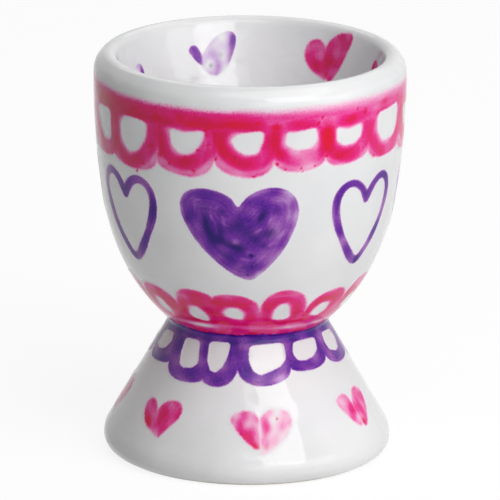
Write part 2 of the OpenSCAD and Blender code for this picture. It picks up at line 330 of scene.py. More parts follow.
def glaze_ground(tree):
    """The tone, the normal and the place that all glazed surfaces of the cup share."""
    place = place_on(tree)
    tone = ramp(tree, noise(tree, place, TONE_SCALE), [(0.3, "#F5F6F6"), (0.7, "#FFFFFF")])
    return tone, bump(tree, noise(tree, place, RIPPLE_SCALE), strength=0.8, depth=0.2 * MM), place


def white_glaze():
    material, tree = new_material("glazed_earthenware")
    tone, normal, place = glaze_ground(tree)
    away, chance = cells(tree, place, SPECK_SCALE)
    bare = maths(tree, "GREATER_THAN", chance, SPECKS_KEPT)
    bare = maths(tree, "MAXIMUM", between(tree, away, SPECK_FROM, SPECK_TO), bare)
    white = mixed(tree, bare, linear(IRON_BROWN), linear(GLAZE_WHITE))
    finish_shader(tree, mixed(tree, 1.0, white, tone, "MULTIPLY"), normal, GLAZE_ROUGHNESS)
    return material


glaze = white_glaze()
print("made", glaze.name)

# %% [markdown]
# Under the glaze is fired clay. It shows only on the ring that the cup stands on, which potters
# leave dry so that the pot doesn't stick to the kiln shelf. Bare clay is matt, a warm off-white,
# with fine grain that catches the light.

# %% Bare clay on the CAD nodes that stay
# Grains of 0.4 mm
CLAY_SCALE, CLAY_DETAIL, CLAY_ROUGHNESS = 2400.0, 4.0, 0.85


def bare_clay():
    material, tree = new_material("fired_clay")
    grain = noise(tree, place_on(tree), CLAY_SCALE, CLAY_DETAIL)
    colour = ramp(tree, grain, [(0.35, "#D8CDBB"), (0.65, "#EAE1D2")])
    finish_shader(tree, colour, bump(tree, grain, strength=0.5, depth=0.05 * MM), CLAY_ROUGHNESS)
    return material


clay = bare_clay()
for name in ("bowl", "foot", "luting_slip"):
    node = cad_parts[name]
    if not node.material_slots:
        node.data.materials.append(clay)
    for slot in node.material_slots:
        slot.material = clay
print("clay nodes dressed in", clay.name)

# %% The glaze skins
HOLLOW_R, KNEE = 2.5, 0.3
hollow_lean = tan(radians(cone_lean))


def hollow_x(z):
    """How wide the hollow under the foot is at a height."""
    start = foot_c + (FOOT_SHOULDER_R - FOOT_WALL) * direction(cone_lean)
    return start[0] - (z - start[1]) * hollow_lean


ring_x = FOOT_R - EDGE_R - RING_W
knee_z = foot_c[1] + (hollow_x(foot_c[1]) - ring_x) / hollow_lean
top_z = waist_z - FOOT_TOP_T
top_turn = 90 - cone_lean
top_x = hollow_x(top_z) - HOLLOW_R * tan(radians(top_turn / 2))
hollow_line = (
    [np.array([0.0, top_z])] + list(np.linspace([0.5, top_z], [top_x, top_z], 12))
    + arc([top_x, top_z - HOLLOW_R], HOLLOW_R, 90, cone_lean)[1:]
    + list(np.linspace([hollow_x(knee_z + 1), knee_z + 1], [hollow_x(knee_z + KNEE), knee_z + KNEE], 4))
    + list(np.linspace([ring_x, knee_z - KNEE], [ring_x, DRY_H], 8)))
for name, line, columns in (("bowl_glaze", bowl_line + inside_line[1:], 192),
                            ("foot_glaze", foot_line, 256), ("hollow_glaze", hollow_line, 192)):
    skin = piece(name + "_skin", turned(line, steps=columns), GLAZE_T, glaze)
    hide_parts(name)

# %% [markdown]
# The paint is enamel put on the glaze with a soft brush. Each coat could be a picture on the
# glaze, but the finished part has every coat as a piece of its own. So each is a film on a fine
# grid of the same outline, cut to its shape. Every point of the grid carries four readings for the
# material: its distance inside the shape's edge, how much ink lies there, how much of it has
# pooled, and its place along and across the brush stroke.

# %% Distances on the flat
def distance_to(points, line):
    """Shortest distance from each point to a line of points."""
    best = np.full(len(points), 1e9)
    for a, b in zip(line[:-1], line[1:]):
        run = b - a
        share = np.clip(((points - a) @ run) / max(run @ run, 1e-12), 0, 1)
        gap = points - a - share[:, None] * run
        best = np.minimum(best, np.hypot(gap[:, 0], gap[:, 1]))
    return best


def depth_in(points, shape, far=3.0):
    """Distance inside a closed shape, negative outside it, reckoned only near it."""
    shape = np.vstack([shape, shape[:1]])
    depth = np.full(len(points), -far)
    near = np.all((points > shape.min(0) - far) & (points < shape.max(0) + far), axis=1)
    p = points[near]
    inside = np.zeros(len(p), bool)
    for a, b in zip(shape[:-1], shape[1:]):
        if a[1] != b[1]:
            crosses = (a[1] > p[:, 1]) != (b[1] > p[:, 1])
            inside ^= crosses & (p[:, 0] < a[0] + (p[:, 1] - a[1]) * (b[0] - a[0]) / (b[1] - a[1]))
    depth[near] = distance_to(p, shape) * np.where(inside, 1, -1)
    return depth


def rounded(shape, cut=0.25, times=2):
    """Cuts the corners of a closed shape again and again, as a round brush does."""
    shape = np.array(shape, float)
    for _ in range(times):
        after = np.roll(shape, -1, axis=0)
        shape = np.stack([(1 - cut) * shape + cut * after, cut * shape + (1 - cut) * after], 1)
        shape = shape.reshape(-1, 2)
    return shape


def smooth(value, low, high):
    share = np.clip((value - low) / (high - low), 0, 1)
    return share * share * (3 - 2 * share)


def bell(value, width):
    return np.exp(-(value / width) ** 2)


def clouds(x, z, size, seed):
    """Soft patches of about the given size, between 0 and 1, the same each run."""
    chance = np.random.default_rng(seed)
    total = np.zeros(len(x))
    for _ in range(14):
        a, phase = chance.uniform(0, 2 * pi, 2)
        pace = 2 * pi / (size * chance.uniform(0.8, 1.8))
        total += np.sin((x * cos(a) + z * sin(a)) * pace + phase)
    return np.clip(0.5 + total / 9, 0, 1)


def spots(x, z, marks, grown=1.0):
    """Soft oval marks: place, half width, half height, strength, and degrees of lean if it leans."""
    total = np.zeros(len(x))
    for mx, mz, wide, high, strength, *lean in marks:
        a = radians(sum(lean))
        dx, dz = x - mx, z - mz
        across = (dx * cos(a) + dz * sin(a)) / (wide * grown)
        upward = (-dx * sin(a) + dz * cos(a)) / (high * grown)
        total += strength * np.exp(-(across ** 2 + upward ** 2) ** 1.3)
    return total


# %% [markdown]
# Enamel fired on glaze stays glossy and lets the white through, so a thin place is pale and a
# thick one dark. A colour ramp from the white glaze to the deepest tone stands for the thickness.
# The brush leaves long streaks, the powder in the ink a fine grain, and the flux a ragged, sandy
# edge. Pools have their own, deeper colour. To the eye, the streaks say that a hand did this.

# %% Ceramic enamel
# What a film needs of its enamel: slot, material, and how far past the shape's edge it fades out
Enamel = namedtuple("Enamel", "slot material margin")
# Powder grains of 0.3 mm and places for a dot each 0.7 mm
POWDER_SCALE, DOT_SCALE = 3000.0, 1500.0
DOT_EDGE, DOT_CORE, DOT_STRENGTH = 0.24, 0.12, 0.8
ENAMEL_ROUGHNESS, ENAMEL_LEVEL = 0.1, 0.2


def enamel(colour_name, tones, pool_colour, dot_colour, softness, raggedness, streaks, grain, dotted):
    material, tree = new_material(colour_name + "_ceramic_enamel")
    tone, normal, place = glaze_ground(tree)
    edge, ink, pool, brush = (add(tree, "Attribute", attribute_name=key).outputs
                              for key in ("edge", "ink", "pool", "brush"))
    ink = ink["Fac"]
    powder = noise(tree, place, POWDER_SCALE)
    stroke = noise(tree, brush["Vector"], 1.0, 3.0, 0.6)
    ragged = maths(tree, "MULTIPLY_ADD", powder, raggedness, -raggedness / 2)
    cover = between(tree, maths(tree, "ADD", edge["Fac"], ragged), -softness, softness, curve="SMOOTHSTEP")
    laid = product(tree, ink, about_one(tree, stroke, streaks), about_one(tree, powder, grain), cover)
    away, chance = cells(tree, place, DOT_SCALE)
    chosen = maths(tree, "GREATER_THAN", chance, 1 - dotted)
    dot = product(tree, between(tree, away, DOT_EDGE, DOT_CORE, DOT_STRENGTH), chosen,
                  between(tree, ink, 0.3, 0.7), cover)
    colour = mixed(tree, product(tree, pool["Fac"], cover), ramp(tree, laid, tones), linear(pool_colour))
    colour = mixed(tree, dot, colour, linear(dot_colour))
    finish_shader(tree, mixed(tree, 1.0, colour, tone, "MULTIPLY"), normal, ENAMEL_ROUGHNESS, ENAMEL_LEVEL)
    print("made", material.name)
    return Enamel(colour_name + "_enamel", material, softness + raggedness / 2 + 0.04)


PINK_TONES = [
    (0.0, GLAZE_WHITE), (0.14, "#F6CBE0"), (0.3, "#F494C6"), (0.46, "#F055A5"),
    (0.62, "#EC2088"), (0.8, "#E80C6C"), (1.0, "#DE0450")]
PURPLE_TONES = [
    (0.0, GLAZE_WHITE), (0.14, "#DEC8E8"), (0.3, "#BE8ECE"), (0.45, "#9C58B4"),
    (0.6, "#7830A6"), (0.75, "#581698"), (0.9, "#420A88"), (1.0, "#340580")]
pink = enamel("pink", PINK_TONES, "#E4062A", "#BE0824",
              softness=0.3, raggedness=0.3, streaks=0.4, grain=0.35, dotted=0.5)
purple = enamel("purple", PURPLE_TONES, "#16046A", "#14063A",
                softness=0.16, raggedness=0.2, streaks=0.5, grain=0.35, dotted=0.15)

# %% Lay a film of paint
LIFT, FILM_T, SPACING = 0.03, 0.1, 0.25


def stretch_of(line, low, high, lift=LIFT):
    """The part of an outline between two heights, on an even spacing and lifted off the glaze."""
    line = np.array(line)
    run = np.concatenate([[0], np.cumsum(np.hypot(*np.diff(line, axis=0).T))])
    even = np.linspace(0, run[-1], int(run[-1] / SPACING) + 1)
    even = np.column_stack([np.interp(even, run, line[:, 0]), np.interp(even, run, line[:, 1])])
    slope = np.gradient(even, axis=0)
    slope /= np.hypot(slope[:, 0], slope[:, 1])[:, None]
    lifted = even + lift * np.column_stack([slope[:, 1], -slope[:, 0]])
    return lifted[(even[:, 1] >= low) & (even[:, 1] <= high)]


def film(node, coat, line, from_turn, to_turn, paint):
    """A film over part of an outline. paint(turn, z, r) gives edge, ink, pool, brush and where to stop."""
    radius = max(p[0] for p in line)
    steps = max(8, round(radians(to_turn - from_turn) * radius / SPACING))
    bm = turned(line, from_turn, to_turn, steps)
    places = np.array([v.co for v in bm.verts]) / MM
    middle = (from_turn + to_turn) / 2
    turn = (np.degrees(np.arctan2(places[:, 0], -places[:, 1])) - middle + 180) % 360 - 180 + middle
    edge, ink, pool, brush, *stop = paint(turn, places[:, 2], np.hypot(places[:, 0], places[:, 1]))
    layers = bm.verts.layers
    marks = [(layers.float.new(key), values)
             for key, values in (("edge", edge), ("ink", ink), ("pool", pool))]
    direction_layer = layers.float_vector.new("brush")
    for i, vert in enumerate(bm.verts):
        for layer, values in marks:
            vert[layer] = float(values[i])
        vert[direction_layer] = brush[i]
    inside = np.minimum(edge + coat.margin, *stop) if stop else edge + coat.margin
    bare = [vert for vert, depth in zip(bm.verts, inside) if depth < 0]
    bmesh.ops.delete(bm, geom=bare, context="VERTS")
    made = piece(node + "_film", bm, FILM_T, coat.material)
    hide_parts(node)


# %% [markdown]
# Each border is a row of loops. The painter drew every loop a little differently, so each has a
# height for the cusp at its left, a lowest or highest point, and a window of bare glaze, all as
# they are on the painted front. Round the back the same shapes come again.

# %% Loops between cusps
def loop_places(cusps, loops, order):
    """The scallop line and the windows of a border, as azimuth and height."""
    cusps = np.append(cusps, cusps[0] + 360)
    line, windows = [], []
    for i, (start, end) in enumerate(zip(cusps, cusps[1:])):
        left, (peak_share, peak_z), window = loops[order[i]]
        right = loops[order[(i + 1) % len(order)]][0]
        peak = start + (end - start) * peak_share
        for cusp, cusp_z, angles in ((start, left, (0, 90)), (end, right, (90, 0))):
            for a in np.linspace(*angles, 9)[:-1]:
                c, s = direction(a)
                line.append((peak + (cusp - peak) * c, cusp_z + (peak_z - cusp_z) * s))
        windows.append([(start + (end - start) * share, z) for share, z in window])
    return np.array(line), windows


class Border:
    """Readings that all borders share, for points given by azimuth and height."""

    def __init__(self, turn, z, cusps, loops, order, radius, slope, hanging, cut=0.16):
        line, windows = loop_places(cusps, loops, order)
        self.turn = (turn - cusps[0]) % 360 + cusps[0]
        self.scale = scale = np.array([radius * pi / 180, slope])
        self.x, self.y = self.turn * scale[0], z * scale[1]
        flat = np.column_stack([self.x, self.y])
        ring = np.vstack([line[-20:] - [360, 0], line, line[:20] + [360, 0]])
        side = np.sign(z - np.interp(self.turn, ring[:, 0], ring[:, 1])) * (1 if hanging else -1)
        self.scallop = distance_to(flat, ring * scale) * side
        window = np.full(len(z), -3.0)
        for shape in windows:
            for whole in (-360, 0, 360):
                shape_here = rounded(np.array(shape) + [whole, 0], cut, 3) * scale
                window = np.maximum(window, depth_in(flat, shape_here))
        self.window = -window - 0.12
        starts = np.append(cusps, cusps[0] + 360)
        which = np.searchsorted(starts, self.turn, side="right") - 1
        self.which = which = np.clip(which, 0, len(cusps) - 1)
        self.share = (self.turn - starts[which]) / (starts[which + 1] - starts[which])

    def along(self, shares, rows):
        """A value that each loop has its own row of, read off at these shares of its width."""
        value = np.zeros(len(self.turn))
        for i, row in enumerate(rows):
            here = self.which == i
            value[here] = np.interp(self.share[here], shares, row)
        return value

    def spots(self, marks):
        """Soft marks whose places are given by azimuth and height."""
        wide, high = self.scale
        return spots(self.x, self.y, [(turn * wide, z * high, *rest) for turn, z, *rest in marks])

    def dotted(self, edge, pool, dots):
        """Round dots of thick ink, inside the shape or just off its edge."""
        for turn, z, size in dots:
            across = ((self.turn - turn + 180) % 360 - 180) * self.scale[0]
            away = np.hypot(across, self.y - z * self.scale[1])
            edge = np.maximum(edge, size * 1.15 - away)
            pool = np.maximum(pool, 0.95 * (1 - smooth(away, size * 0.6, size * 1.3)))
        return edge, pool


def chance_pools(starts, seed, reach, height, wide, high):
    """Pools for the loops round the back. height draws one height from the chance it is given."""
    chance = np.random.default_rng(seed)
    return [(start + chance.uniform(0, reach), height(chance), chance.uniform(*wide),
             chance.uniform(*high), chance.uniform(.3, .6)) for start in starts]


def brush_along(x, across, seed, pull=0.22, fine=1.6):
    """Stroke coordinates: slow along the stroke, quick across it."""
    return np.column_stack([x * pull, across * fine, np.full(len(x), float(seed))])


# %% The pink border under the rim
RIM_TOP = 60.1
RIM_CUSPS = [-82, -60, -36, -13, 9, 29, 49, 72, 95, 118, 141, 164, 187, 210, 233, 256]
RIM_LOOPS = [
    (50.6, (.6, 49.3), [(.37, 56.5), (.9, 57), (.89, 52.1), (.64, 52), (.46, 53.9)]),
    (50.4, (.55, 48.8), [(.32, 56.9), (.8, 56.7), (.76, 54), (.6, 51.9), (.4, 51.5), (.25, 52.9),
     (.22, 55.2)]),
    (51.1, (.6, 49.2), [(.26, 56.4), (.51, 56), (.84, 56.6), (.77, 54.6), (.64, 53.2), (.45, 52.8),
     (.3, 53.9)]),
    (52.4, (.6, 49.6), [(.4, 56.4), (.8, 57), (.8, 55.4), (.71, 53.6), (.53, 53.4), (.38, 54.1),
     (.3, 55.4)]),
    (52.2, (.47, 50.3), [(.24, 56.6), (.42, 56.5), (.78, 57.1), (.8, 55.2), (.68, 54), (.4, 53.9),
     (.22, 54.8)]),
    (52.2, (.35, 50.6), [(.22, 56.6), (.48, 55.9), (.78, 56.5), (.78, 54.8), (.62, 53.9), (.4, 53.7),
     (.24, 54.5)]),
    (52.2, (.4, 50.2), [(.23, 57.4), (.59, 57.5), (.88, 57.8), (.84, 54.6), (.73, 53), (.42, 52.7),
     (.23, 54.6)]),
]
RIM_ORDER = [0, 1, 2, 3, 4, 5, 6, 2, 4, 1, 3, 5, 2, 6, 3, 1]
# How loaded the brush was along each loop, at these shares of its width
RIM_SHARES = [0, .1, .3, .55, .8, 1]
RIM_FLOWS = [
    (.9, .9, .8, .6, .5, .8), (.9, .9, .8, .65, .45, .7), (1, 1, .8, .9, .4, .6), (1, 1, 1, .8, .55, 1),
    (1, .9, .4, .12, .12, 1), (1, 1, 1, .85, .45, .6), (.55, .6, .8, .5, .4, .4)]
# The band above the loops is darkest at the left of the front and pink at the right, and it fades
# towards its top, both by azimuth
BAND_TURNS = [-82, -50, -25, -4, 6, 25, 55, 90, 278]
BAND_INKS = [.86, .84, .8, .78, .62, .55, .46, .6, .86]
FADE_TURNS = [-60, -10, 20, 60, 278]
FADES = [.2, .3, .3, .2, .2]
# Places on the front: azimuth, height, half width, half height, strength and lean
RIM_POOLS = [
    (-59, 56.3, .6, 1.4, .35), (-36.1, 57.9, .5, .7, .8), (-26, 58.2, .9, .6, .7),
    (-21.5, 57.5, 1.7, .5, .8), (-13.9, 57.4, .8, .35, .7), (-5.5, 57.9, 2.2, .55, .85),
    (-34.1, 53.7, .6, 1.5, .4), (-10.4, 54.2, .7, 1.5, .6, 10), (-34.5, 52.1, .45, .45, .8),
    (-65.7, 58.3, 1, .6, .5), (-46, 58.3, .9, .5, .3), (9.6, 57.5, .75, .6, 1.1),
    (9.5, 55.3, .6, 1.7, .55), (17.8, 58, 1.3, .45, .4), (29.6, 55.2, 1.1, 2.2, 1.1),
    (35, 52.2, 1.3, .5, .6, 10), (40.1, 57.6, .85, .5, .8, 25), (46.6, 58.3, .3, .55, .8),
    (49.6, 54.6, .5, 1.2, .3), (58.2, 58.9, 1.2, .5, .5, 10), (69.7, 58.6, .2, .5, .7),
    (11.5, 53.4, .9, .6, .35), (-25, 51.8, 1.2, .5, .25)]
RIM_DOTS = [
    (-50.1, 57.3, .24), (-39, 53.2, .25), (-42.9, 50.1, .22), (-46.3, 48.6, .24), (-30.6, 50.9, .24),
    (-21.3, 50.3, .19), (-20.4, 50.2, .19), (-12.4, 52.4, .22), (-15.9, 56.9, .28), (-16, 56, .16),
    (-19.1, 53.6, .17), (-21.4, 52.6, .18), (-24.3, 52.4, .16), (-15, 54.5, .17), (-71.4, 52.4, .2),
    (-67.1, 49.4, .18), (-37.8, 58.9, .2), (10.2, 51.7, .25), (13.4, 50.8, .18), (19.3, 50.9, .17),
    (24.8, 51.1, .17), (29.2, 52.4, .25), (1.7, 49.8, .19), (43.7, 52.7, .18), (52.5, 50.8, .24),
    (42.7, 59, .17), (27.1, 58.5, .17), (25.6, 57.8, .25), (2.9, 58.3, .26), (4.3, 58.1, .16),
    (20, 50.4, .13), (72.7, 51.4, .16)]


def back_marks(cusps, first, bottom, top, seed):
    """Pools and dots for the loops round the back, in the same manner as the front's."""
    chance = np.random.default_rng(seed)
    pools, dots = [], []
    for start in cusps[first:]:
        pools.append((start + chance.uniform(-1, 2), chance.uniform(bottom + 5, top - 3), .6,
                      chance.uniform(.9, 2), chance.uniform(.3, .9)))
        pools.append((start + chance.uniform(6, 16), top - chance.uniform(1.9, 2.5),
                      chance.uniform(.8, 1.9), .5, chance.uniform(.4, .85)))
        for _ in range(3):
            dots.append((start + chance.uniform(0, 20), bottom + chance.uniform(.3, 2.6),
                         chance.uniform(.14, .24)))
    return pools, dots


def rim_paint(turn, z, r):
    b = Border(turn, z, RIM_CUSPS, RIM_LOOPS, RIM_ORDER, BOWL_R, 1.0, True)
    top = RIM_TOP + 0.25 * np.sin(np.radians(b.turn * 2 - 30)) + 0.15 * (clouds(b.x, z * 0, 6, 3) - 0.5)
    edge = np.minimum(np.minimum(b.scallop, b.window), (top - z) * 0.45)
    # The brush came down at the left of a loop, loaded, and ran dry on its way up at the right
    flow = b.along(RIM_SHARES, [RIM_FLOWS[i] for i in RIM_ORDER]) * (0.8 + 0.4 * clouds(b.x, z, 7, 13))
    margin = np.interp(b.share, [0, .3, .5, .75, 1], [1.7, 1.5, 1.2, 0.6, 0.6])
    under = smooth(b.window, -0.1, margin) * (1 - smooth(b.window, 1.9, 3.2))
    low = 0.2 + 0.16 * clouds(b.x, z, 3, 11) + 0.7 * flow * under
    low += 0.05 * bell(b.scallop - 0.2, 0.25)
    high = np.interp(b.turn, BAND_TURNS, BAND_INKS) + 0.12 * bell(z - 57.5, 0.7)
    high += 0.36 * (clouds(b.x, z * 2, 5, 12) - 0.5) * (1 - smooth(z, 58, 59.4))
    high -= np.interp(b.turn, FADE_TURNS, FADES) * smooth(z, 58.6, 60.2)
    ink = low + (high - low) * smooth(z, 56.2, 57.4)
    more_pools, more_dots = back_marks(RIM_CUSPS, 7, 49.8, 60, 21)
    pool = np.clip(0.85 * b.spots(RIM_POOLS + more_pools), 0, 0.9)
    edge, pool = b.dotted(edge, pool, RIM_DOTS + more_dots)
    return edge, ink + 0.25 * pool, pool, brush_along(b.x, b.window + z * 0.4, 1)


film("rim_border", pink, stretch_of(bowl_line, 47.8, 61.2), -82, 278, rim_paint)

# %% The pink border above the waist
# Its middle radius, and the length of outline that goes with each millimetre of height
WAIST_BORDER_R, WAIST_SLOPE = 15.9, 1.27
WAIST_CUSPS = [-62, -38, -17, 6, 31, 56, 80, 104, 128, 152, 176, 200, 225, 250, 274]
WAIST_LOOPS = [
    (27, (.38, 29.5), [(.34, 27), (.5, 26.9), (.6, 25.2), (.62, 24.3), (.42, 24.6), (.32, 25.6)]),
    (26.8, (.46, 30.2), [(.36, 26.7), (.54, 26.8), (.69, 25.7), (.76, 24.4), (.56, 24.3), (.32, 24.7),
     (.26, 25.4)]),
    (28.9, (.38, 29.9), [(.33, 27.2), (.51, 27.2), (.62, 26.2), (.6, 25.2), (.38, 25.4), (.26, 25.8),
     (.22, 26.4)]),
    (26.8, (.45, 30.6), [(.31, 25.2), (.32, 26.9), (.41, 27.8), (.51, 27.9), (.58, 27.2), (.65, 25.4),
     (.56, 25), (.42, 25)]),
    (26, (.6, 29.5), [(.2, 25.2), (.27, 26.3), (.38, 27), (.56, 26.9), (.58, 25.6), (.43, 24.7)]),
]
WAIST_ORDER = [0, 1, 2, 3, 4, 1, 3, 2, 4, 1, 3, 4, 2, 1, 4]
WAIST_POOLS = [
    (-34.2, 27.8, .8, 1.3, .45), (-26.2, 29.3, 1.3, .5, .3), (-14.1, 28.4, 1, .9, .5),
    (-17, 28.2, .8, .6, .4), (-14.1, 24.4, 1, .5, .6), (-.5, 27.8, .6, 1, .45), (9.1, 27.7, .6, 1.3, .35),
    (16.3, 30, 1.6, .4, .35), (32, 24.3, 1, .45, .5), (65, 21.9, .6, .4, .5), (-6.8, 23.9, 2.4, .4, .3),
    (16.8, 23.3, 2, .35, .35), (-49.5, 23, .7, .35, .4), (-33, 22.2, 1.5, .3, .7),
    (-17, 22.1, .8, .25, .75), (4, 22.1, 1.3, .25, .75), (34, 22.2, .8, .3, .7), (40, 23.6, 1.4, .3, .3)]


def seam(turn):
    """The height where the pink border meets the purple one, a little wavy."""
    wave = np.radians(turn)
    return 21.6 + 0.12 * np.sin(wave * 5 + 1) + 0.1 * np.sin(wave * 13) + 0.06 * np.sin(wave * 29 + 2)


def waist_paint(turn, z, r):
    b = Border(turn, z, WAIST_CUSPS, WAIST_LOOPS, WAIST_ORDER, WAIST_BORDER_R, WAIST_SLOPE, False)
    edge = np.minimum(b.scallop, b.window)
    stroke = bell(b.window - 1.0, 0.8)
    arches = 0.58 + 0.3 * stroke + 0.42 * (clouds(b.x, b.y, 3.5, 31) - 0.5)
    arches *= (0.8 + 0.2 * smooth(b.scallop, 0, 0.8)) * (0.4 + 0.6 * smooth(b.window, -0.2, 0.9))
    drag = clouds(b.x * 0.15, b.y * 1.2, 1.8, 32)
    band = 0.6 + 0.4 * (drag - 0.5) + 0.25 * bell(z - 24.2, 0.3)
    band -= 0.5 * bell(z - 23.1, 0.4) * clouds(b.x * 0.4, z * 0, 3, 33)
    ink = arches + (band - arches) * (1 - smooth(z, 24.3, 25.3))
    more = chance_pools(WAIST_CUSPS[5:] * 2, 41, 22, lambda chance: chance.uniform(21.9, 29),
                        (.7, 1.6), (.3, .9))
    pool = 0.8 * b.spots(WAIST_POOLS + more)
    pool += 0.8 * bell(z - seam(turn), 0.3) * smooth(clouds(b.x, z * 0, 1.2, 34), 0.4, 0.6)
    pool = np.clip(pool, 0, 0.9)
    return edge, ink + 0.2 * pool, pool, brush_along(b.x, b.y, 2, 0.18, 1.8), z - seam(turn) + 0.15


film("waist_border", pink, stretch_of(bowl_line, 20.9, 32.0), -62, 298, waist_paint)

# %% [markdown]
# Purple loops hang from a band in the crease. The crease belongs to both the bowl's outline and
# the foot's, so this film's line joins the two. It lies over the pink border's lower edge.

# %% The purple border below the waist
COLLAR_R, COLLAR_SLOPE = 14.2, 1.155
COLLAR_CUSPS = [-82, -54, -26, -6, 27, 57, 91, 118, 145, 171, 198, 225, 252]
COLLAR_LOOPS = [
    (17.3, (.3, 15.5), [(.17, 19.6), (.66, 19.8), (.74, 18.8), (.62, 17.5), (.34, 17.1), (.11, 17.4)]),
    (16.2, (.55, 14.1), [(.22, 19.9), (.67, 19.9), (.78, 17), (.69, 16.3), (.46, 16), (.34, 16.4),
     (.25, 17.9)]),
    (14.9, (.45, 14.1), [(-.06, 20.1), (.69, 20.2), (.65, 18.5), (.51, 16.9), (.34, 16.1), (.18, 16.3),
     (.02, 17.6)]),
    (17, (.44, 14.4), [(.23, 19.9), (.95, 20.1), (.94, 17.9), (.8, 17), (.59, 16.4), (.42, 16),
     (.3, 16.5), (.22, 17.9)]),
    (16.6, (.45, 15.8), [(.22, 19.9), (.88, 19.9), (.82, 18.4), (.62, 17.6), (.4, 17.3), (.22, 17.5),
     (.14, 18.5)]),
    (17.2, (.42, 15.4), [(.22, 20), (.66, 19.7), (.71, 18.4), (.58, 17.2), (.42, 17), (.21, 17.6),
     (.17, 18.8)]),
]
COLLAR_ORDER = [0, 1, 2, 3, 4, 5, 1, 3, 4, 2, 5, 3, 5]
COLLAR_POOLS = [
    (-51.8, 19.5, .46, .46, .5), (-29.5, 18.7, .35, 1.3, .4), (-31.2, 20.3, 1.1, .4, .45),
    (-8.1, 20.2, 1, .5, .6), (-6.2, 19.1, .6, .8, .4), (-11.2, 17.5, .55, 1, .3), (-16.4, 15, 1, .45, .4),
    (-.2, 17, .45, 1, .35), (33.4, 20.7, .6, .4, .5), (31.8, 18.6, .3, .65, .6),
    (32.1, 17.1, .65, .45, .45), (40.9, 16.5, .8, .3, .3), (-48.9, 17.1, .3, 1, .3),
    (-35.1, 14.7, 1, .3, .3), (7.3, 20.4, 2, .35, .55), (-19, 20.1, 1.6, .35, .45),
    (61.3, 18.2, .3, .8, .35), (66.8, 16.1, .5, .35, .4), (-71.7, 16, .45, .4, .3), (6, 14.9, 1, .3, .3)]
# A painted reflection: the ink is made paler where the window's reflection crosses the collar
COLLAR_REFLECTION = (17.5, 15.3, 1.3, .9, 1, 30)


def collar_paint(turn, z, r):
    b = Border(turn, z, COLLAR_CUSPS, COLLAR_LOOPS, COLLAR_ORDER, COLLAR_R, COLLAR_SLOPE, True, 0.13)
    edge = np.minimum(b.scallop, b.window)
    ink = 0.6 + 0.3 * (clouds(b.x, b.y, 3, 52) - 0.5) + 0.12 * smooth(z, 19.8, 20.6)
    # Thinner ink where the window is reflected on the collar: a painted reflection
    ink -= 0.34 * b.spots([COLLAR_REFLECTION])
    more = chance_pools(COLLAR_CUSPS[6:] * 3, 61, 24, lambda chance: chance.choice([15.2, 17, 20.4]),
                        (.4, 1.2), (.3, .8))
    pool = 0.8 * b.spots(COLLAR_POOLS + more)
    pool += 0.8 * bell(z - seam(turn), 0.25) * smooth(clouds(b.x, z * 0, 1.5, 54), 0.35, 0.6)
    pool = np.clip(pool * 0.85, 0, 0.75)
    across = np.minimum(b.window, b.scallop)
    return (edge, ink + 0.15 * pool, pool, brush_along(b.x, across * 1.4 + b.y * 0.3, 3, 0.25, 1.7),
            seam(turn) + 0.15 - z)


film("collar_border", purple, stretch_of(foot_line + bowl_line[1:], 13.2, 22.3, LIFT * 2), -82, 278,
     collar_paint)

# %% [markdown]
# The big heart was drawn round its outline first and then filled with short curved strokes. The
# ink ran together low in its middle. The outline hearts are one stroke each, and the small ones
# two dabs of a loaded brush that meet at the tip, with more ink where they end.

# %% A film for one heart
def heart_film(node, coat, line, centre, reach, mirrored, readings, *shape):
    """readings(x, z, *shape) gives what the film carries, with x measured from the heart's middle."""
    def paint(turn, z, r):
        return readings(r * np.radians(turn - centre) * (-1 if mirrored else 1), z, *shape)
    film(node, coat, line, centre - reach, centre + reach, paint)


# %% The filled hearts
HEART = [
    (-.5, 44.6), (-1.4, 46.3), (-3.1, 47.2), (-5.1, 47.6), (-7.1, 47.5), (-8.8, 46.7), (-9.6, 45.3),
    (-9.6, 43.7), (-9, 42.1), (-7.6, 39.8), (-6, 37.8), (-3.5, 35.4), (-1.5, 33.8), (.1, 32.9),
    (1.6, 32.6), (2.8, 33.5), (4.4, 35.1), (6.3, 37.3), (7.9, 40.2), (8.8, 42.7), (9, 44.5),
    (8.4, 46.4), (7.1, 47.6), (5.3, 48.1), (3.4, 47.9), (1.4, 47), (.2, 45.7)]
HEART_POOLS = [
    (-5.5, 42.4, .6, 1.2, .7, 10), (-4.8, 40.4, .7, 1.3, .85, 25), (-3.7, 39.3, .95, .7, .7, 30),
    (-3.1, 40.9, .6, 1.2, .6, 10), (-.8, 41.8, 1.3, .9, .6, 25), (-2, 38.8, 1.5, .6, .7, -25),
    (-.3, 38.1, 1, .8, .7), (1.1, 40.7, 1.35, 1.1, .5), (2.2, 39.5, .8, .7, .5),
    (3.2, 43.4, .6, 1.3, .75, -30), (4.2, 40.6, 1.2, .8, .65, 20), (3.4, 38.6, .7, .45, .45),
    (5.4, 44.4, .4, .8, .4), (-2.2, 36.8, 1.5, .45, .5, -35), (-3, 43.9, .7, .45, .4, 20),
    (-5.6, 44.5, .75, .55, .3), (-8.1, 42.5, .55, .8, .25), (.7, 34.9, 1.2, .6, .3, 10)]
HEART_DOTS = [(-.3, 43.1, .17), (1.6, 36.9, .4), (1, 33.6, .24), (2.8, 42.9, .22)]
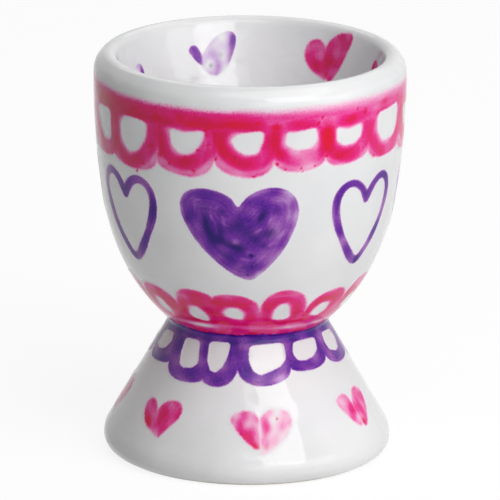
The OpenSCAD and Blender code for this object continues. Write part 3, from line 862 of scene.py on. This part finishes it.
HEART_PALE = [
    (-4.5, 43, .2, .75, .8, 20), (-3.9, 41.7, .15, .8, .7, 15), (-2.6, 42.3, .17, .95, .7, 15),
    (-7.2, 44.5, .2, 1, .5), (7.3, 44.2, .5, 2.2, .45), (6.2, 40.2, .45, 1.4, .5, -40),
    (4.6, 38.8, .3, .7, .5, -60), (.5, 36.3, .8, .25, .8, -15), (-.8, 39.1, .5, .5, .6),
    (2.7, 41.1, .8, .27, .6, 30), (4.5, 42.8, .22, .8, .6, -30), (1.2, 37.5, .55, .35, .5),
    (5.4, 46, 1.3, .3, .3, -10), (1.7, 33.4, 1.8, .8, .7, 30), (-6.6, 45.7, .8, .2, .4),
    (2.7, 33.9, .8, .4, .4, 40), (8.3, 42.6, .25, 1.7, .2, -5), (-3.5, 44.8, .4, .27, .4),
    (.7, 42.1, .4, .27, .5)]


def filled_heart(x, z, seed):
    edge = depth_in(np.column_stack([x, z]), rounded(HEART))
    pale = spots(x, z, HEART_PALE)
    ink = 0.65 + 0.2 * (clouds(x, z, 3, seed) - 0.5) - 0.16 * smooth(x - 0.25 * (z - 40), 2.5, 5.5)
    ink -= 0.26 * pale + 0.16 * (1 - smooth(edge, 0.0, 0.9))
    pool = 1.15 * spots(x, z, HEART_POOLS, 1.1)
    for mx, mz, size in HEART_DOTS:
        pool = np.maximum(pool, 1 - smooth(np.hypot(x - mx, z - mz), size * 0.7, size * 1.25))
    pool = np.clip(pool - 0.25 * pale, 0, 0.9)
    swirl = np.arctan2(x, z - 39) * 5
    return edge, ink, pool, brush_along(swirl, edge, seed, 0.3, 3.0)


# %% The outline hearts
OUTLINE = [
    (.2, 44.2), (-1, 46.2), (-2.8, 47.3), (-4.7, 47), (-6, 45.3), (-6, 43), (-5, 40.2),
    (-3.2, 37.3), (-1.2, 34.8), (.4, 33.7), (1.9, 35.3), (3.9, 38.4), (5.5, 41.6), (6.2, 44.4),
    (5.4, 46.6), (3.7, 47.4), (1.7, 46.4), (.2, 44.2)]
OUTLINE_POOLS = [(.4, 34.2, .8, .7, .6), (.2, 45, .5, .6, .5), (-5.8, 44, .3, 1.4, .4)]


def outline_heart(x, z, seed):
    line = np.array(OUTLINE)
    for _ in range(2):
        halves = [0.75 * line[:-1] + 0.25 * line[1:], 0.25 * line[:-1] + 0.75 * line[1:]]
        line = np.vstack([line[:1], np.stack(halves, 1).reshape(-1, 2), line[-1:]])
    away = distance_to(np.column_stack([x, z]), line)
    width = 0.68 + 0.22 * (clouds(x, z, 6, seed) - 0.5)
    swirl = np.arctan2(x, z - 40.5) * 6
    ink = 0.62 + 0.4 * (clouds(swirl, swirl * 0, 5, seed + 1) - 0.5) - 0.12 * smooth(away, 0.2, 0.7)
    pool = np.clip(spots(x, z, OUTLINE_POOLS), 0, 0.7)
    return width - away, ink, pool, brush_along(swirl, away * np.sign(x), seed, 0.3, 2.6)


# %% The hearts round the bowl
HEART_TURNS = [-3, 50, 101, 152, 204, 255, 306]
FILLED = [1, 0, 1, 0, 0, 1, 0]
MIRRORED = [0, 0, 1, 1, 0, 0, 1]
FILLED_REACH, OUTLINE_REACH = 27, 21
heart_line = stretch_of(bowl_line, 31.4, 49.6)
for i, centre in enumerate(HEART_TURNS):
    readings, reach = (filled_heart, FILLED_REACH) if FILLED[i] else (outline_heart, OUTLINE_REACH)
    heart_film(f"bowl_heart_{i + 1}", purple, heart_line, centre, reach, MIRRORED[i], readings, 70 + i)

# %% Hearts of two dabs
# Each has the outlines of its dabs, the ink in each, where ink gathers and pools, and how pale the
# line between the dabs is
Dabs = namedtuple("Dabs", "left right inks loads pools parting")
BENT_DABS = Dabs(
    [(1.4, 6), (-.4, 6.7), (-2.2, 7.4), (-3.5, 8.8), (-3.7, 10), (-2.8, 10.8), (-1.7, 10.6), (-.8, 9.4),
     (.2, 7.8)],
    [(1.4, 5.9), (0, 7.7), (-.6, 9.3), (0, 10.6), (1.3, 11.2), (2.8, 11.2), (3.8, 10.5), (3.7, 9.1),
     (2.8, 7.9), (1.8, 6.8)],
    (.5, .55), [(-2.4, 8, .8, 1.5, .4, 30), (.6, 8.8, .6, 1.6, .25, -20), (2.4, 9.2, 1.2, 1, .15, -30)],
    [(-1.8, 7.6, .6, 1.1, 1, 40), (3.3, 10.3, .2, .2, .8)], .2)
# The right dab gets little ink: a painted reflection of the window over the foot's front heart. The same
# pale dab comes again round the back.
WIDE_DABS = Dabs(
    [(-.5, 5.5), (-2.6, 7.1), (-4.1, 8.6), (-4.8, 9.7), (-4.1, 10.6), (-2.5, 11), (-1.1, 10.8), (-.4, 9.7),
     (-.3, 7.6)],
    [(-.3, 5), (-.5, 7), (-.5, 9.4), (.5, 10.8), (2.2, 11.2), (3.9, 10.8), (4.8, 9.8), (4.4, 8.3),
     (2.9, 6.8), (1.2, 5.7)],
    (.34, .15), [(-2.2, 7, 1, 1.6, .5, 40), (-3.4, 9.4, .8, .8, .15), (.5, 8.8, .7, 1.2, .35),
                 (2.6, 8, 1.6, .5, .08, 40)],
    [(-1.1, 6.2, .45, .7, .85, 40), (2.4, 9.9, .2, .2, .95), (.5, 6.1, .4, .4, .35)], .5)
TALL_DABS = Dabs(
    [(-.4, 6.3), (-2, 7.6), (-3.1, 9.2), (-3.7, 10.2), (-3.6, 11), (-2.2, 11.4), (-.9, 11.1), (-.5, 10),
     (-.3, 8)],
    [(.5, 6), (-.3, 7.6), (-.2, 9.8), (.8, 11.2), (2.8, 11.6), (4.2, 10.6), (3.8, 9), (2.4, 7.5)],
    (.34, .36), [(-1.4, 8.4, .8, 1.4, .3, -35), (1.4, 8.8, .7, 1.8, .35, 10)],
    [(.6, 6.9, .45, .55, .95)], .6)


def dab_heart(x, z, seed, dabs, drop=0):
    y = z + drop
    one, two = (depth_in(np.column_stack([x, y]), rounded(dab)) for dab in (dabs.left, dabs.right))
    edge = np.maximum(one, two) + 0.12
    over = smooth(two - one, -0.3, 0.3)
    ink = dabs.inks[0] + (dabs.inks[1] - dabs.inks[0]) * over + spots(x, y, dabs.loads)
    ink += 0.3 * (clouds(x, z, 2.2, seed) - 0.5) + 0.12 * smooth(np.minimum(one, two), 0, 0.5)
    parting = (1 - smooth(np.abs(one - two), 0, 0.5)) * smooth(np.maximum(one, two), -0.2, 0.2)
    ink *= 1 - dabs.parting * parting
    pool = np.clip(spots(x, y, dabs.pools), 0, 0.9)
    slant = np.where(two > one, x - 0.35 * z, x + 0.35 * z)
    return edge, ink, pool, brush_along(z, slant, seed, 0.35, 2.4)


# %% The hearts round the foot
FOOT_TURNS = [7, 62, 115, 166, 217, 268, 315]
FOOT_DABS = [WIDE_DABS, TALL_DABS, BENT_DABS, TALL_DABS, WIDE_DABS, BENT_DABS, BENT_DABS]
FOOT_MIRRORED = [0, 0, 1, 0, 1, 0, 0]
DAB_REACH = 20
foot_heart_line = stretch_of(foot_line, 3.9, 12.8)
for i, centre in enumerate(FOOT_TURNS):
    heart_film(f"foot_heart_{i + 1}", pink, foot_heart_line, centre, DAB_REACH, FOOT_MIRRORED[i],
               dab_heart, 90 + i, FOOT_DABS[i])

# %% The hearts inside the bowl
# Little ink and a pale line between the dabs: a painted reflection of the window, which lies over this
# purple heart on the far inside wall.
REFLECTION_PALE_DABS = Dabs(
    [(-1.7, 56.4), (-2.4, 56.9), (-3.3, 57.9), (-3.9, 58.8), (-3.5, 59.4), (-2.7, 59.4), (-2.1, 58.5),
     (-1.7, 57.4)],
    [(-.1, 54.8), (-1.5, 55.8), (-2, 57), (-1.3, 58.4), (.1, 59.8), (1.6, 60.8), (3, 61.3), (3.8, 60.8),
     (3.8, 59.3), (2.7, 56.9), (1.3, 55.2)],
    (.46, .13), [(3.5, 59.7, .6, 1.9, .42, -10), (.6, 56.2, 1.6, .8, .08, 30)],
    [(-.4, 56.3, .35, .35, .5), (1.3, 57.8, .5, .4, .25)], .3)
FULL_DABS = Dabs(
    [(.9, 55.1), (-.9, 55.5), (-2.7, 56.4), (-3.9, 58), (-4, 59.8), (-2.6, 60.8), (-1.2, 60.5),
     (-.3, 59.2), (.6, 57.3)],
    [(.9, 54.9), (-.2, 56.2), (-.7, 58.8), (-.1, 60.7), (1.4, 62), (3.3, 62.6), (4.5, 62.5), (4.5, 61.3),
     (3.8, 59.5), (2.8, 57), (1.9, 55.4)],
    (.56, .6), [(-1.9, 57, 1.2, 1, .25, -40), (.6, 57.7, 1.1, 1.1, .3), (-2.4, 59.8, .8, .7, -.2)],
    [(.3, 56, .6, .4, .6), (-1.7, 56.9, .8, .35, .35, -30), (.8, 58, .6, .7, .3, -20)], 0)
INNER_TURNS = [93, 142, 198, 252, 301, 352, 41]
INNER_PINK = [1, 1, 0, 0, 1, 0, 1]
# Seen from the axis, right and left change places, so here the zeros look mirrored
INNER_MIRRORED = [0, 1, 1, 1, 1, 0, 1]
INNER_DROPS = [2, 0, 0, 2.5, .4, .8, 0]
inner_line = stretch_of(bowl_line + inside_line[1:], 52, 63)
inner_line = inner_line[np.array([p[0] for p in inner_line]) < crest_c[0]]
for i, centre in enumerate(INNER_TURNS):
    coat, dabs = (pink, FULL_DABS) if INNER_PINK[i] else (purple, REFLECTION_PALE_DABS)
    heart_film(f"inner_heart_{i + 1}", coat, inner_line, centre, DAB_REACH, INNER_MIRRORED[i],
               dab_heart, 110 + i, dabs, INNER_DROPS[i])

# %% [markdown]
# The cup stood on white paper beside a soft window, high at the right of the camera. The window's
# reflection on the foot, the rim and the inside wall gives its place: it reaches from about 16 to
# 50 degrees to the right and from 18 to 50 degrees up. The other lamps are wider and dimmer, and
# stand for the sky over the window, a pale wall low at the right, the room behind the camera, the
# ceiling, and a window behind the cup. The background is white to the eye and in reflections, and
# gives hardly any other light.

# %% The window light
LAMP_DISTANCE, LAMP_AIM = 0.9, 0.03
# Name, degrees to the right, degrees up, width and height in metres, and watts
LAMPS = [
    ("window", 33, 34, 0.56, 0.52, 2.8),
    ("sky_above", 36, 62, 1.0, 0.6, 2.6),
    ("pale_wall", 41, 10, 1.4, 0.5, 3.4),
    ("room", 14, 22, 1.4, 1.0, 0.35),
    ("ceiling", 70, 78, 1.2, 1.2, 1.2),
    ("far_window", 178, 50, 0.8, 0.6, 1.5)]
for name, turn, rise, width, height, power in LAMPS:
    data = bpy.data.lights.new(name, "AREA")
    data.shape, data.size, data.size_y, data.energy = "RECTANGLE", width, height, power
    lamp = placed(name, data)
    a, e = radians(turn), radians(rise)
    back = Vector((sin(a) * cos(e), -cos(a) * cos(e), sin(e)))
    lamp.location = Vector((0, 0, LAMP_AIM)) + back * LAMP_DISTANCE
    lamp.rotation_euler = back.to_track_quat("Z", "Y").to_euler()
    lamp.visible_camera = False
print("lamps placed:", len(LAMPS))

# %% White all round
WHITE, ROOM_STRENGTH = "#FFFFFF", 0.02


def lit_or_seen(tree, lit, seen, output):
    """One shader for the rays that light the cup, and another for the rays that should see white."""
    rays = add(tree, "LightPath").outputs
    to_eye = maths(tree, "MAXIMUM", rays["Is Camera Ray"], rays["Is Glossy Ray"])
    to_eye = maths(tree, "MAXIMUM", to_eye, rays["Is Transmission Ray"])
    both = add(tree, "MixShader", {0: to_eye, 1: lit.outputs[0], 2: seen.outputs[0]})
    add(tree, output, {"Surface": both.outputs[0]})


world = bpy.data.worlds.new("studio")
bpy.context.scene.world = world
world.use_nodes = True
tree = world.node_tree
tree.nodes.clear()
dim = add(tree, "Background", {"Color": linear(WHITE), "Strength": ROOM_STRENGTH})
bright = add(tree, "Background", {"Color": linear(WHITE), "Strength": 1.0})
lit_or_seen(tree, dim, bright, "OutputWorld")
print("world made:", world.name)

# %% The floor
FLOOR_REACH = 3.0
# Paper as the light meets it, and as the camera sees it: almost white, with a faint shadow
PAPER_WHITE, PAPER_SHADE, PAPER_GLOW = "#E6E6E6", "#6E6E6E", 0.88
paper, tree = new_material("white_paper")
matt = add(tree, "BsdfDiffuse", {"Color": linear(PAPER_WHITE)})
faint = add(tree, "BsdfDiffuse", {"Color": linear(PAPER_SHADE)})
glow = add(tree, "Emission", {"Color": linear(WHITE), "Strength": PAPER_GLOW})
seen = add(tree, "AddShader", {0: faint.outputs[0], 1: glow.outputs[0]})
lit_or_seen(tree, matt, seen, "OutputMaterial")
bm = bmesh.new()
bmesh.ops.create_grid(bm, x_segments=1, y_segments=1, size=FLOOR_REACH)
floor = dressed("floor", bm, paper)
print("floor laid")

# %% [markdown]
# The camera stands far off with a long lens, 16 degrees above the table, as the ellipses of the
# rim and the foot show. It is turned by half a degree, and a tiny shift sets the cup where the
# photograph has it.

# %% The camera
DISTANCE, ELEVATION, ROLL, TARGET_Z, FOCAL_PIXELS = 1.1, 16.08, 0.56, 0.032, 7128.0
PICTURE, TARGET_ACROSS, TARGET_DOWN = 500, 248.52, 247.08
SENSOR = 36.0
data = bpy.data.cameras.new("camera")
data.sensor_width = SENSOR
data.lens = FOCAL_PIXELS / PICTURE * SENSOR
data.shift_x = 0.5 - TARGET_ACROSS / PICTURE
data.shift_y = TARGET_DOWN / PICTURE - 0.5
camera = placed("camera", data)
tilt = radians(ELEVATION)
camera.location = (0, -DISTANCE * cos(tilt), TARGET_Z + DISTANCE * sin(tilt))
look = Matrix.Rotation(radians(90) - tilt, 4, "X") @ Matrix.Rotation(radians(ROLL), 4, "Z")
camera.rotation_euler = look.to_euler()
bpy.context.scene.camera = camera
bpy.context.scene.view_settings.view_transform = "Standard"
print("camera placed")
